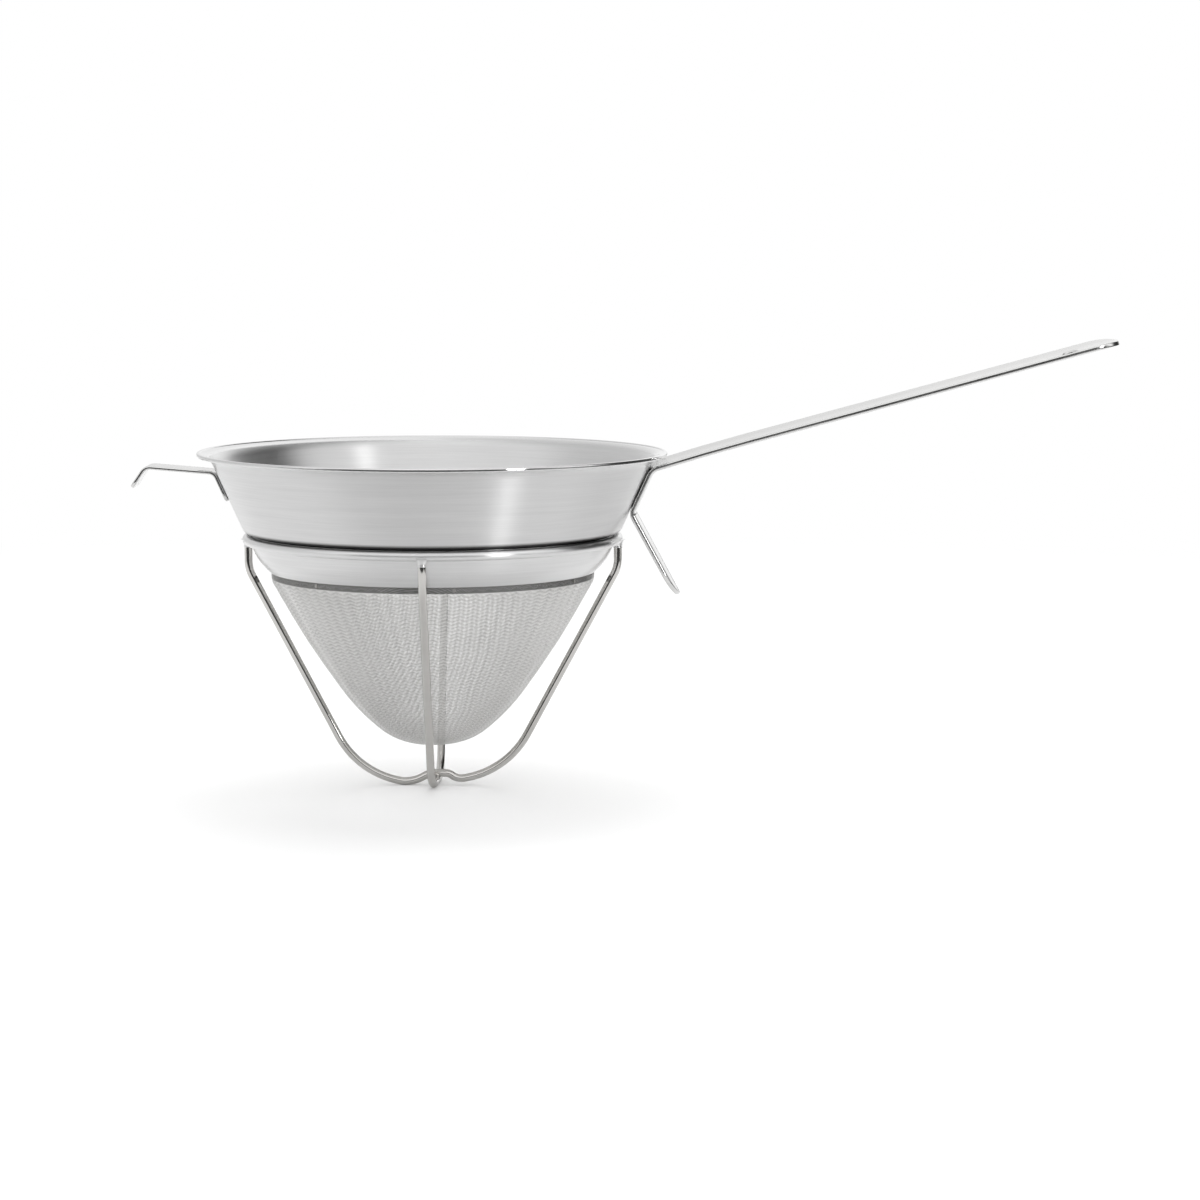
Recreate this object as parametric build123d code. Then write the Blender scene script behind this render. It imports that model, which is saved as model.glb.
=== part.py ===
from build123d import *
import math
import os

os.makedirs("parts", exist_ok=True)

# Frame: the origin lies on the bowl's axis at table height, the handle points to +X and +Z is up.
# Every length is in millimetres. Points of turned pieces are (radius, height).

# Fits
slack = 0.1  # air left between pieces that lie against each other
overrun = 5.0  # how far a cutter runs past what it cuts

# Bowl, pressed from sheet, with a flared rim
bowl_rise = 37.6  # from the ring wire up to the rim
rim_flare = 4.285  # how far the lip runs out from the wall
bead_radius = 0.85  # rounded edge of the rim
bowl_sheet = 1.0
bowl_wall_angle = 24.2  # away from upright
wall_inset = 0.077  # the wall's line meets the ring wire's height this far inside its radius
bowl_bend_shares = [0.995, 0.72, 0.2]  # lip, foot of the wall and neck
skirt_share = 0.55  # how far the skirt follows the collar down
seam_gap = 0.6  # dark line between the bowl and the collar's rolled edge

# Wire ring and the collar that is rolled around it
ring_radius = 80.25
ring_height = 109.0
ring_wire_radius = 1.05
ring_slack = 0.2  # air around the ring wire inside the rolled edge
collar_sheet = 0.8
collar_inset = 9.55  # from the ring wire in to the lower edge
collar_depth = 12.75
collar_waist_shares = (0.598, 0.401)  # where the collar turns steeper, outwards and upwards
collar_bulge_share = 0.48
collar_root_radius = 4.0
roll_corner_share = 0.96  # roundness of the rolled edge
roll_end_share = 0.3

# Woven wire cone and the ring that clamps its edge
mesh_sheet = 0.5
mesh_tip_height = 18.8
mesh_band = 4.0  # from the collar's edge down to where the cone starts to narrow
mesh_shoulder_radius = 6.0
mesh_tuck_radius = 0.4
mesh_tuck_share = 0.5  # how far its edge runs up inside the collar
mesh_corner_shares = [(0.79, 0.598), (0.489, 0.2056), (0.2248, 0.0)]
mesh_round_shares = [0.43, 0.46, 0.7]
clamp_sheet = 0.8
clamp_drop = 2.8  # how far it shows below the collar

# Guard wires that cross under the cone
guard_wire_radius = 1.75
guard_top_bend_radius = 14.0
guard_low_bend_radius = 38.0
guard_foot_bend_radius = 12.0
guard_foot_angle = 10.0
right_corner_drop = 11.2  # from a wire's top down to where it turns inwards
left_corner_drop = 12.1
cross_corner_drop = 10.85
hump_place = 1.1
hump_left_run = 0.3  # level part of the hump, each way from its place
hump_right_run = 3.8
hump_left_angle = 30.0
hump_right_angle = 37.0
hump_crown_share = 0.4
right_low_lift = 1.3  # how far the right half's lowest point stays off the table
cross_low_bend_radius = 20.0
cross_low_share = 0.2  # where the slope would meet the table
cross_shifts = [-0.5, -0.4, 2.0, 1.6]  # sideways, from the front end to the rear end
weld_stub_height = 0.9
weld_rise = 0.3  # how far the stub reaches up beside the ring wire
sleeve_height = 2.4
sleeve_wall = 0.4
nugget_radius = 1.6

# Handle, one strip with a leg
strip_width = 24.0
strip_thickness = 2.0
strip_dish = 1.2
strip_edge_radius = 0.7
handle_overhang = 194.0  # from the rim out to the tip
handle_root_drop = 6.0
handle_root_slope = 17.4
handle_root_run = 24.5
handle_slope = 15.13
handle_roll = 3.0
handle_root_radius = 7.0
handle_sweep_share = 0.8
pad_drop = 20.0  # height of the part that lies on the wall
leg_angle = 28.3
leg_length = 42.6
leg_bend_radius = 5.2
hanging_hole_radius = 3.2
hanging_hole_margin = 21.5  # from the tip to the hole's centre

# Hook opposite the handle
hook_width = 17.0
hook_thickness = 1.5
hook_root_drop = 8.4
hook_pad_drop = 12.7
hook_overhang = 22.4
hook_arm_rise = 4.7
hook_tip_angle = 34.0
hook_tip_length = 11.2
hook_bend_radius = 4.7
hook_end_corner_radius = 3.0

# Spot welds
spot_radius = 2.2
spot_depth = 0.5
mesh_spot_radius = 0.75
mesh_spot_drop = 1.4
mesh_spot_depth = 1.0
mesh_spot_proud = 0.2
mesh_spot_count = 7
mesh_spot_start = -80.0
spot_place_shares = [0.3, 0.7]


# Helpers
def along(point, angle, length):
    """the point a length away, at an angle in degrees from the first axis"""
    turn = math.radians(angle)
    return (point[0] + length * math.cos(turn), point[1] + length * math.sin(turn))


def between(start, end, share):
    """the point at a share of the way from start to end"""
    return (start[0] + (end[0] - start[0]) * share, start[1] + (end[1] - start[1]) * share)


def heading(start, end):
    """direction from start to end, in radians"""
    return math.atan2(end[1] - start[1], end[0] - start[0])


def turn_between(before, after):
    """signed turn from one heading to the next, left is positive"""
    return (after - before + math.pi) % (2 * math.pi) - math.pi


def shifted(points, distance):
    """the same line moved to its left by a distance"""
    runs = [heading(a, b) for a, b in zip(points, points[1:])]
    moved = []
    for point, before, after in zip(points, runs[:1] + runs, runs + runs[-1:]):
        half = turn_between(before, after) / 2
        side = math.degrees(before + half + math.pi / 2)
        moved.append(along(point, side, distance / math.cos(half)))
    return moved


def rounded(points, radii, distance=0):
    """line with rounded corners, moved to its left by a distance"""
    runs = [heading(a, b) for a, b in zip(points, points[1:])]
    turns = [turn_between(before, after) for before, after in zip(runs, runs[1:])]
    rounds = [radius - math.copysign(1, turn) * distance for radius, turn in zip(radii, turns)]
    return FilletPolyline(*shifted(points, distance), radius=rounds)


def radii_from_shares(points, shares):
    """corner radii whose arcs take up a share of the shorter run beside them"""
    radii = []
    for before, corner, after, share in zip(points, points[1:], points[2:], shares):
        turn = turn_between(heading(before, corner), heading(corner, after))
        run = min(math.dist(before, corner), math.dist(corner, after))
        radii.append(share * run / math.tan(abs(turn) / 2))
    return radii


def band(points, radii, near, far):
    """strip of sheet between two distances to the left of a rounded line"""
    inner = rounded(points, radii, near)
    outer = rounded(points, radii, far)
    return make_face([inner, outer, Line(inner @ 0, outer @ 0), Line(inner @ 1, outer @ 1)])


def turned(face):
    """piece turned about the upright axis"""
    return revolve(Plane.XZ * face, Axis.Z, 360)


def rod(path, radius):
    """round rod along a path"""
    return sweep(Plane(origin=path @ 0, z_dir=path % 0) * Circle(radius), path=path)


def upright(radius, low, high, place):
    """upright cylinder between two heights"""
    return Pos(place[0], place[1], (low + high) / 2) * Cylinder(radius, high - low)


def spot(frame, radius, below, above):
    """weld nugget that reaches below and above the frame's plane"""
    return frame * Pos(0, 0, (above - below) / 2) * Cylinder(radius, above + below)


def end_frame(end, inner):
    """plane of a strip's end, its first axis back along the strip"""
    back = Vector(inner[0] - end[0], 0, inner[1] - end[1])
    return Plane(origin=(end[0], 0, end[1]), x_dir=back, z_dir=back.cross(Vector(0, 1, 0)))


def end_trim(frame, outline, reach, width):
    """what is cut away around the rounded end of a strip"""
    block = Pos((reach - overrun) / 2, 0) * Rectangle(reach + overrun, width + 2 * overrun)
    return extrude(frame * (block - outline), amount=overrun, both=True)


def wall_radius(height):
    """outer radius of the bowl's straight wall at a height"""
    return ring_radius - wall_inset + (height - ring_height) * math.tan(math.radians(bowl_wall_angle))


def wall_frame(height, side):
    """plane on the bowl's wall, facing outwards, at the handle (1) or at the hook (-1)"""
    tilt = math.radians(bowl_wall_angle)
    normal = (side * math.cos(tilt), 0, -math.sin(tilt))
    return Plane(origin=(side * wall_radius(height), 0, height), x_dir=(0, 1, 0), z_dir=normal)


# Collar line, from its lower edge up and around the ring wire
roll_radius = ring_wire_radius + ring_slack
roll_low = ring_height - roll_radius
roll_high = ring_height + roll_radius
roll_near = ring_radius - roll_radius
roll_far = ring_radius + roll_radius
collar_edge = (ring_radius - collar_inset, roll_low - collar_depth)
out_share, up_share = collar_waist_shares
collar_waist = (collar_edge[0] + (roll_near - collar_edge[0]) * out_share, collar_edge[1] + collar_depth * up_share)
roll_end = between((roll_near, roll_low), (roll_far, roll_low), roll_end_share)
collar_line = [
    collar_edge,
    collar_waist,
    (roll_near, roll_low),
    (roll_near, roll_high),
    (roll_far, roll_high),
    (roll_far, roll_low),
    roll_end,
]
roll_corner = roll_radius * roll_corner_share
collar_radii = radii_from_shares(collar_line[:3], [collar_bulge_share])
collar_radii += [collar_root_radius, roll_corner, roll_corner, roll_corner]
collar_inside = shifted(collar_line[:4], collar_sheet + slack)

# Bowl line, on its outside, from the lip down into the collar
rim_height = ring_height + bowl_rise
lip_height = rim_height - bead_radius - bowl_sheet / 2
bead_place = wall_radius(lip_height) + rim_flare
rim_radius = bead_place + bead_radius
shelf_height = roll_high + collar_sheet + seam_gap
bowl_line = [
    (bead_place, lip_height),
    (wall_radius(lip_height), lip_height),
    (wall_radius(shelf_height), shelf_height),
    (collar_inside[2][0], shelf_height),
    collar_inside[2],
    between(collar_inside[2], collar_inside[1], skirt_share),
]
skirt_bend_radius = collar_root_radius - collar_sheet - slack
bowl_radii = radii_from_shares(bowl_line, bowl_bend_shares) + [skirt_bend_radius]

# Cone line, on its outside, from the edge inside the collar down to the tip
mesh_radius = collar_inside[0][0]
cone_height = collar_inside[0][1] - mesh_tip_height
cone_line = [
    between(collar_inside[0], collar_inside[1], mesh_tuck_share),
    collar_inside[0],
    (mesh_radius, collar_edge[1] - mesh_band),
]
cone_line += [(mesh_radius * out, mesh_tip_height + cone_height * up) for out, up in mesh_corner_shares]
cone_line.append((0, mesh_tip_height))
cone_radii = [mesh_tuck_radius, mesh_shoulder_radius] + radii_from_shares(cone_line[2:], mesh_round_shares)

# Tops of the guard wires, welded under the ring wire
weld_seat = ring_height - ring_wire_radius
guard_top = weld_seat + weld_rise - weld_stub_height
front_depth = math.sqrt(ring_radius**2 - cross_shifts[0] ** 2)
rear_depth = math.sqrt(ring_radius**2 - cross_shifts[3] ** 2)
guard_tops = [(-ring_radius, 0), (ring_radius, 0), (cross_shifts[0], -front_depth), (cross_shifts[3], rear_depth)]


def make_bowl():
    shell = turned(band(bowl_line, bowl_radii, -bowl_sheet, 0))
    bead = Pos(0, 0, rim_height - bead_radius) * Torus(bead_place, bead_radius)
    return shell + bead


def make_bowl_room():
    """the bowl's sheet with its clearance outside, cut from what lies against it"""
    return turned(band(bowl_line, bowl_radii, -bowl_sheet, slack))


def make_collar(bowl_room):
    collar = turned(band(collar_line, collar_radii, 0, collar_sheet))
    bore = guard_wire_radius + slack
    for place in guard_tops:
        collar += upright(bore + sleeve_wall, roll_low - sleeve_height, roll_low, place) - bowl_room
    for place in guard_tops:
        collar -= upright(bore, roll_low - sleeve_height - overrun, weld_seat + weld_rise + slack, place)
    return collar


def make_ring_wire():
    return Pos(0, 0, ring_height) * Torus(ring_radius, ring_wire_radius)


def make_cone():
    return turned(band(cone_line, cone_radii, -mesh_sheet, 0))


def make_clamp_ring():
    line = cone_line[:2] + [(mesh_radius, collar_edge[1] - clamp_drop)]
    near = mesh_sheet + slack
    return turned(band(line, cone_radii[:1], -near - clamp_sheet, -near))


def guard_half(side, level, angle, lift, corner_drop):
    """half of the lengthwise wire, from the hump's crown out to the ring"""
    hump_rise = 2 * guard_wire_radius + slack
    hump_reach = (hump_rise - lift) / (1 - math.cos(math.radians(angle)))
    crown = hump_reach * hump_crown_share
    arcs = [
        (crown, -angle),
        (hump_reach - crown, angle),
        (guard_foot_bend_radius, guard_foot_angle),
    ]
    crown_place = (side * hump_place, guard_wire_radius + hump_rise)
    place = along(crown_place, 0, level)
    course = 0
    path = [Line(crown_place, place)]
    for radius, turn in arcs:
        path.append(JernArc(place, along((0, 0), course, 1), radius, turn))
        place = ((path[-1] @ 1).X, (path[-1] @ 1).Y)
        course += turn
    # The low bend ends where its circle's tangent runs to the corner under the wire's top
    corner = (ring_radius, guard_top - corner_drop)
    centre = along(place, course + 90, guard_low_bend_radius)
    lean = math.asin(guard_low_bend_radius / math.dist(centre, corner))
    slope = math.degrees(heading(centre, corner) + lean)
    path.append(JernArc(place, along((0, 0), course, 1), guard_low_bend_radius, slope - course))
    back = guard_top_bend_radius * math.tan(math.radians(90 - slope) / 2)
    bend_start = along(corner, slope, -back)
    path.append(Line(path[-1] @ 1, bend_start))
    path.append(JernArc(bend_start, along((0, 0), slope, 1), guard_top_bend_radius, 90 - slope))
    path.append(Line(path[-1] @ 1, (ring_radius, guard_top)))
    half = rod(Plane.XZ * Wire([piece.edge() for piece in path]), guard_wire_radius)
    return half if side > 0 else half.mirror(Plane.YZ)


def make_lengthwise_wire():
    right = guard_half(1, hump_right_run, hump_right_angle, right_low_lift, right_corner_drop)
    return right + guard_half(-1, hump_left_run, hump_left_angle, 0, left_corner_drop)


def make_crosswise_wire():
    bend_height = guard_top - cross_corner_drop
    cross_low_place = ring_radius * cross_low_share
    corners = [
        (cross_shifts[0], -front_depth, guard_top),
        (cross_shifts[0], -front_depth, bend_height),
        (cross_shifts[1], -cross_low_place, guard_wire_radius),
        (cross_shifts[2], cross_low_place, guard_wire_radius),
        (cross_shifts[3], rear_depth, bend_height),
        (cross_shifts[3], rear_depth, guard_top),
    ]
    bends = [guard_top_bend_radius, cross_low_bend_radius, cross_low_bend_radius, guard_top_bend_radius]
    return rod(FilletPolyline(*corners, radius=bends), guard_wire_radius)


def make_end_welds(ring_wire):
    return [upright(guard_wire_radius, guard_top, weld_seat + weld_rise, place) - ring_wire for place in guard_tops]


# Handle line, along the rims of its dished section, from the tip to the leg's end
def pad_place(height):
    """how far out the rims of the strip lie on the wall"""
    return math.sqrt(wall_radius(height) ** 2 - (strip_width / 2) ** 2) + slack


handle_root_height = rim_height - handle_root_drop
leg_turn_height = handle_root_height - pad_drop
handle_root = (pad_place(handle_root_height), handle_root_height)
handle_waist = along(handle_root, handle_root_slope, handle_root_run)
handle_run = (rim_radius + handle_overhang - handle_waist[0]) / math.cos(math.radians(handle_slope))
handle_tip = along(handle_waist, handle_slope, handle_run)
leg_turn = (pad_place(leg_turn_height), leg_turn_height)
leg_end = along(leg_turn, leg_angle - 90, leg_length)
handle_line = [handle_tip, handle_waist, handle_root, leg_turn, leg_end]


def make_handle(bowl_room):
    sweep_radius = radii_from_shares(handle_line[:3], [handle_sweep_share])[0]
    path = Plane.XZ * FilletPolyline(*handle_line, radius=[sweep_radius, handle_root_radius, leg_bend_radius])
    half = strip_width / 2
    rims = ThreePointArc((-half, 0), (0, strip_dish), (half, 0))
    back = ThreePointArc((-half, strip_thickness), (0, strip_dish + strip_thickness), (half, strip_thickness))
    section = make_face([rims, back, Line(rims @ 0, back @ 0), Line(rims @ 1, back @ 1)])
    section = fillet(section.vertices(), strip_edge_radius)
    strip = sweep(Plane(origin=path @ 0, x_dir=(0, 1, 0), z_dir=path % 0) * section, path=path)
    round_end = Pos(half, 0) * Circle(half)
    for end, inner in ((handle_tip, handle_waist), (leg_end, leg_turn)):
        strip -= end_trim(end_frame(end, inner), round_end, half, strip_width)
    tip = end_frame(handle_tip, handle_waist)
    strip -= tip * Pos(hanging_hole_margin, 0) * Cylinder(hanging_hole_radius, 2 * overrun)
    blade_axis = Axis((handle_root[0], 0, handle_root[1]), tip.x_dir)
    strip = strip.rotate(blade_axis, -handle_roll)
    return strip - bowl_room


# Hook line, on its bowl side, from the pad's lower end out to the tip
hook_corner_height = rim_height - hook_root_drop
hook_pad_height = hook_corner_height - hook_pad_drop
hook_root = (wall_radius(hook_corner_height) + slack, hook_corner_height)
arm_run = (rim_radius + hook_overhang - hook_root[0]) / math.cos(math.radians(hook_arm_rise))
hook_elbow = along(hook_root, hook_arm_rise, arm_run)
hook_tip = along(hook_elbow, hook_tip_angle - 90, hook_tip_length)
hook_line = [(wall_radius(hook_pad_height) + slack, hook_pad_height), hook_root, hook_elbow, hook_tip]


def make_hook():
    strip = band(hook_line, [hook_bend_radius, hook_bend_radius], -hook_thickness, 0)
    hook = extrude(Plane.XZ * strip, amount=hook_width / 2, both=True)
    corners = Pos(hook_width, 0) * RectangleRounded(2 * hook_width, hook_width, hook_end_corner_radius)
    for end, inner in ((hook_line[0], hook_root), (hook_tip, hook_elbow)):
        hook -= end_trim(end_frame(end, inner), corners, hook_end_corner_radius, hook_width)
    return hook.mirror(Plane.YZ)


def make_wall_spots(side, low, high, reach):
    heights = [low + (high - low) * share for share in spot_place_shares]
    return [spot(wall_frame(height, side), spot_radius, spot_depth, reach) for height in heights]


def make_mesh_spots():
    spots = []
    for i in range(mesh_spot_count):
        turn = Rot(0, 0, mesh_spot_start + 360 / mesh_spot_count * i)
        frame = turn * Pos(mesh_radius, 0, collar_edge[1] - mesh_spot_drop) * Rot(0, 90, 0)
        spots.append(spot(frame, mesh_spot_radius, mesh_spot_depth, mesh_spot_proud))
    return spots


bowl_room = make_bowl_room()
ring_wire = make_ring_wire()
lengthwise_wire = make_lengthwise_wire()
crosswise_wire = make_crosswise_wire()
crossing_weld = Pos(hump_place, 0, 2 * guard_wire_radius) * Cylinder(nugget_radius, guard_wire_radius)
crossing_weld = crossing_weld - lengthwise_wire - crosswise_wire
handle_spots = make_wall_spots(1, leg_turn_height, handle_root_height, spot_depth + strip_dish)
hook_spots = make_wall_spots(-1, hook_pad_height, hook_corner_height, spot_depth + slack)
mesh_spots = make_mesh_spots()

pieces = {
    "bowl": make_bowl() - handle_spots - hook_spots,
    "collar": make_collar(bowl_room),
    "bead_ring_wire": ring_wire,
    "clamp_ring": make_clamp_ring() - mesh_spots,
    "mesh_cone": make_cone() - mesh_spots,
    "guard_wire_lengthwise": lengthwise_wire,
    "guard_wire_crosswise": crosswise_wire,
    "guard_end_welds": Compound(children=make_end_welds(ring_wire)),
    "crossing_weld": crossing_weld,
    "handle": make_handle(bowl_room) - handle_spots,
    "front_hook": make_hook() - hook_spots,
    "mesh_spot_welds": Compound(children=mesh_spots),
    "handle_spot_welds": Compound(children=handle_spots),
    "hook_spot_welds": Compound(children=hook_spots),
}

for name, piece in pieces.items():
    export_step(piece, os.path.join("parts", name + ".step"))
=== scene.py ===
import math

import bmesh
import bpy
import numpy as np
from mathutils import Matrix, Vector


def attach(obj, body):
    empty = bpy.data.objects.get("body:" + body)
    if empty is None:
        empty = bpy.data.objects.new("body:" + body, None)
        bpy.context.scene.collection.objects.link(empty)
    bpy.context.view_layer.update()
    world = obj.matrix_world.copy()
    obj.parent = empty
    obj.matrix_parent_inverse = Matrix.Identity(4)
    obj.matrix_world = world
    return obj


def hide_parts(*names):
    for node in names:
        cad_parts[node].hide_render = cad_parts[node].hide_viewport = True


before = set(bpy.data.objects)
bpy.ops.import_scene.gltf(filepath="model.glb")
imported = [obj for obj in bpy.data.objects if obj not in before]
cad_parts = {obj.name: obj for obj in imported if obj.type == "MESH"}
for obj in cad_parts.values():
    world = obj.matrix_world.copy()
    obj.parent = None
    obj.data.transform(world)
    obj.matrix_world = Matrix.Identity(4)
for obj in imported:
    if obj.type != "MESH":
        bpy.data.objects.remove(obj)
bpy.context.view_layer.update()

# Sizes of pieces are millimetres and degrees, made metres where they reach a mesh
mm = 0.001
# How finely pieces are cut up: runs in millimetres, bends in degrees, the rest in counts
fineness = {
    "weld": 0.002,
    "wireBend": 4,
    "stripRun": 2.5,
    "stripBend": 4,
    "stripRows": 8,
    "softEdge": 3,
    "holeSides": 48,
    "bowlRun": 3,
    "bowlBend": 6,
    "bowlEdge": 32,
    "collarRun": 2,
    "collarBend": 8,
    "throatSides": 32,
    "throatBend": 10,
    "coneRun": 1.5,
    "coneBend": 4,
}
bpy.ops.object.select_all(action="DESELECT")
print("frame:", len(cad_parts), "nodes")


# Lines drawn in a plane, as (out, up) or (radius, height)
def along(point, angle, length):
    turn = math.radians(angle)
    return (point[0] + length * math.cos(turn), point[1] + length * math.sin(turn))


def between(start, end, share):
    return (start[0] + (end[0] - start[0]) * share, start[1] + (end[1] - start[1]) * share)


def heading(start, end):
    return math.atan2(end[1] - start[1], end[0] - start[0])


def turnBetween(before, after):
    return (after - before + math.pi) % (2 * math.pi) - math.pi


def shifted(points, distance):
    # the same line moved to its left
    runs = [heading(a, b) for a, b in zip(points, points[1:])]
    moved = []
    for point, before, after in zip(points, runs[:1] + runs, runs + runs[-1:]):
        half = turnBetween(before, after) / 2
        side = math.degrees(before + half + math.pi / 2)
        moved.append(along(point, side, distance / math.cos(half)))
    return moved


def addRun(stations, end, step):
    start = stations[-1]
    count = math.ceil(math.dist(start, end) / step - 0.001)
    stations.extend(between(start, end, i / count) for i in range(1, count + 1))


def roundedLine(points, bends, distance, step, bendStep):
    # stations along a line with rounded corners, moved to its left by a distance
    line = shifted(points, distance)
    stations = [line[0]]
    for before, corner, after, bend in zip(line, line[1:], line[2:], bends):
        arrive, leave = heading(before, corner), heading(corner, after)
        turn = turnBetween(arrive, leave)
        side = math.copysign(1, turn)
        radius = bend - side * distance
        start = along(corner, math.degrees(arrive), -radius * math.tan(abs(turn) / 2))
        centre = along(start, math.degrees(arrive) + 90 * side, radius)
        addRun(stations, start, step)
        count = max(2, math.ceil(math.degrees(abs(turn)) / bendStep))
        for i in range(1, count + 1):
            angle = math.degrees(arrive + turn * i / count) - 90 * side
            stations.append(along(centre, angle, radius))
    addRun(stations, line[-1], step)
    return stations


def bendsFromShares(points, shares):
    # corner radii whose arcs take up a share of the shorter run beside them
    bends = []
    for before, corner, after, share in zip(points, points[1:], points[2:], shares):
        turn = turnBetween(heading(before, corner), heading(corner, after))
        run = min(math.dist(before, corner), math.dist(corner, after))
        bends.append(share * run / math.tan(abs(turn) / 2))
    return bends


# Ways of making a piece
def enterEdit(piece, kind="VERT"):
    bpy.context.view_layer.objects.active = piece
    bpy.ops.object.mode_set(mode="EDIT")
    bpy.ops.mesh.select_mode(type=kind)
    bpy.ops.mesh.select_all(action="SELECT")


def pickEdges(piece, test):
    bpy.ops.mesh.select_all(action="DESELECT")
    cage = bmesh.from_edit_mesh(piece.data)
    for edge in cage.edges:
        if test(edge):
            edge.select_set(True)
    bmesh.update_edit_mesh(piece.data)


def closeShell():
    bpy.ops.mesh.select_all(action="SELECT")
    bpy.ops.mesh.remove_doubles(threshold=fineness["weld"] * mm)
    bpy.ops.mesh.normals_make_consistent(inside=False)
    bpy.ops.object.mode_set(mode="OBJECT")


def addModifier(piece, kind, settings):
    modifier = piece.modifiers.new(kind.lower(), kind)
    for key, value in settings.items():
        setattr(modifier, key, value)
    bpy.context.view_layer.objects.active = piece
    bpy.ops.object.modifier_apply(modifier=modifier.name)


def settle(piece, finish, slot, *nodes, smooth=35):
    # place goes into the mesh, then the piece takes over its CAD node
    bpy.ops.object.select_all(action="DESELECT")
    piece.select_set(True)
    bpy.context.view_layer.objects.active = piece
    bpy.ops.object.transform_apply(location=True, rotation=True, scale=True)
    bpy.ops.object.shade_smooth_by_angle(angle=math.radians(smooth))
    piece.data.materials.clear()
    piece.data.materials.append(finish)
    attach(piece, "root")
    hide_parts(*nodes)
    piece.select_set(False)
    print("made", piece.name, len(piece.data.polygons), "faces")


def spinOutline(name, outline, around, closed=True):
    # a point is drawn out along the outline, which then spins about the upright axis
    bpy.ops.mesh.primitive_plane_add(size=1)
    piece = bpy.context.object
    piece.name = name
    enterEdit(piece)
    bpy.ops.mesh.merge(type="CENTER")
    bpy.ops.transform.translate(value=(outline[0][0] * mm, 0, outline[0][1] * mm))
    course = outline + outline[:1] if closed else outline
    for (out, up), (nextOut, nextUp) in zip(course, course[1:]):
        step = ((nextOut - out) * mm, 0, (nextUp - up) * mm)
        bpy.ops.mesh.extrude_vertices_move(TRANSFORM_OT_translate={"value": step})
    bpy.ops.mesh.select_all(action="SELECT")
    bpy.ops.mesh.spin(steps=around, angle=2 * math.pi, center=(0, 0, 0), axis=(0, 0, 1))
    closeShell()
    return piece


def bendWire(name, radius, sides, start, way, moves):
    # a ring is drawn out along straight runs and spun through bends
    place, way = Vector(start), Vector(way).normalized()
    turn = way.to_track_quat("Z", "Y").to_euler()
    bpy.ops.mesh.primitive_circle_add(vertices=sides, radius=radius * mm, location=place * mm, rotation=turn)
    piece = bpy.context.object
    piece.name = name
    bpy.ops.object.transform_apply(location=True, rotation=True, scale=True)
    enterEdit(piece)
    for kind, size, turn, axis in moves:
        if kind == "run":
            bpy.ops.mesh.extrude_edges_move(TRANSFORM_OT_translate={"value": way * size * mm})
            place = place + way * size
            continue
        axis = Vector(axis) * math.copysign(1, turn)
        turn = abs(turn)
        centre = place + axis.cross(way) * size
        steps = max(2, math.ceil(turn / fineness["wireBend"]))
        bpy.ops.mesh.spin(steps=steps, angle=-math.radians(turn), center=centre * mm, axis=axis)
        spun = Matrix.Rotation(math.radians(turn), 3, axis)
        place = centre + spun @ (place - centre)
        way = spun @ way
    bpy.ops.mesh.select_all(action="SELECT")
    bpy.ops.mesh.fill_holes(sides=0)
    closeShell()
    return piece


def cornerMoves(corners, bends):
    moves, spare = [], 0
    corners = [Vector(corner) for corner in corners]
    for before, corner, after, bend in zip(corners, corners[1:], corners[2:], bends):
        arrive, leave = (corner - before).normalized(), (after - corner).normalized()
        turn = arrive.angle(leave)
        back = bend * math.tan(turn / 2)
        moves.append(("run", (corner - before).length - back - spare, 0, None))
        moves.append(("bend", bend, math.degrees(turn), arrive.cross(leave).normalized()))
        spare = back
    moves.append(("run", (corners[-1] - corners[-2]).length - spare, 0, None))
    return moves


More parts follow.
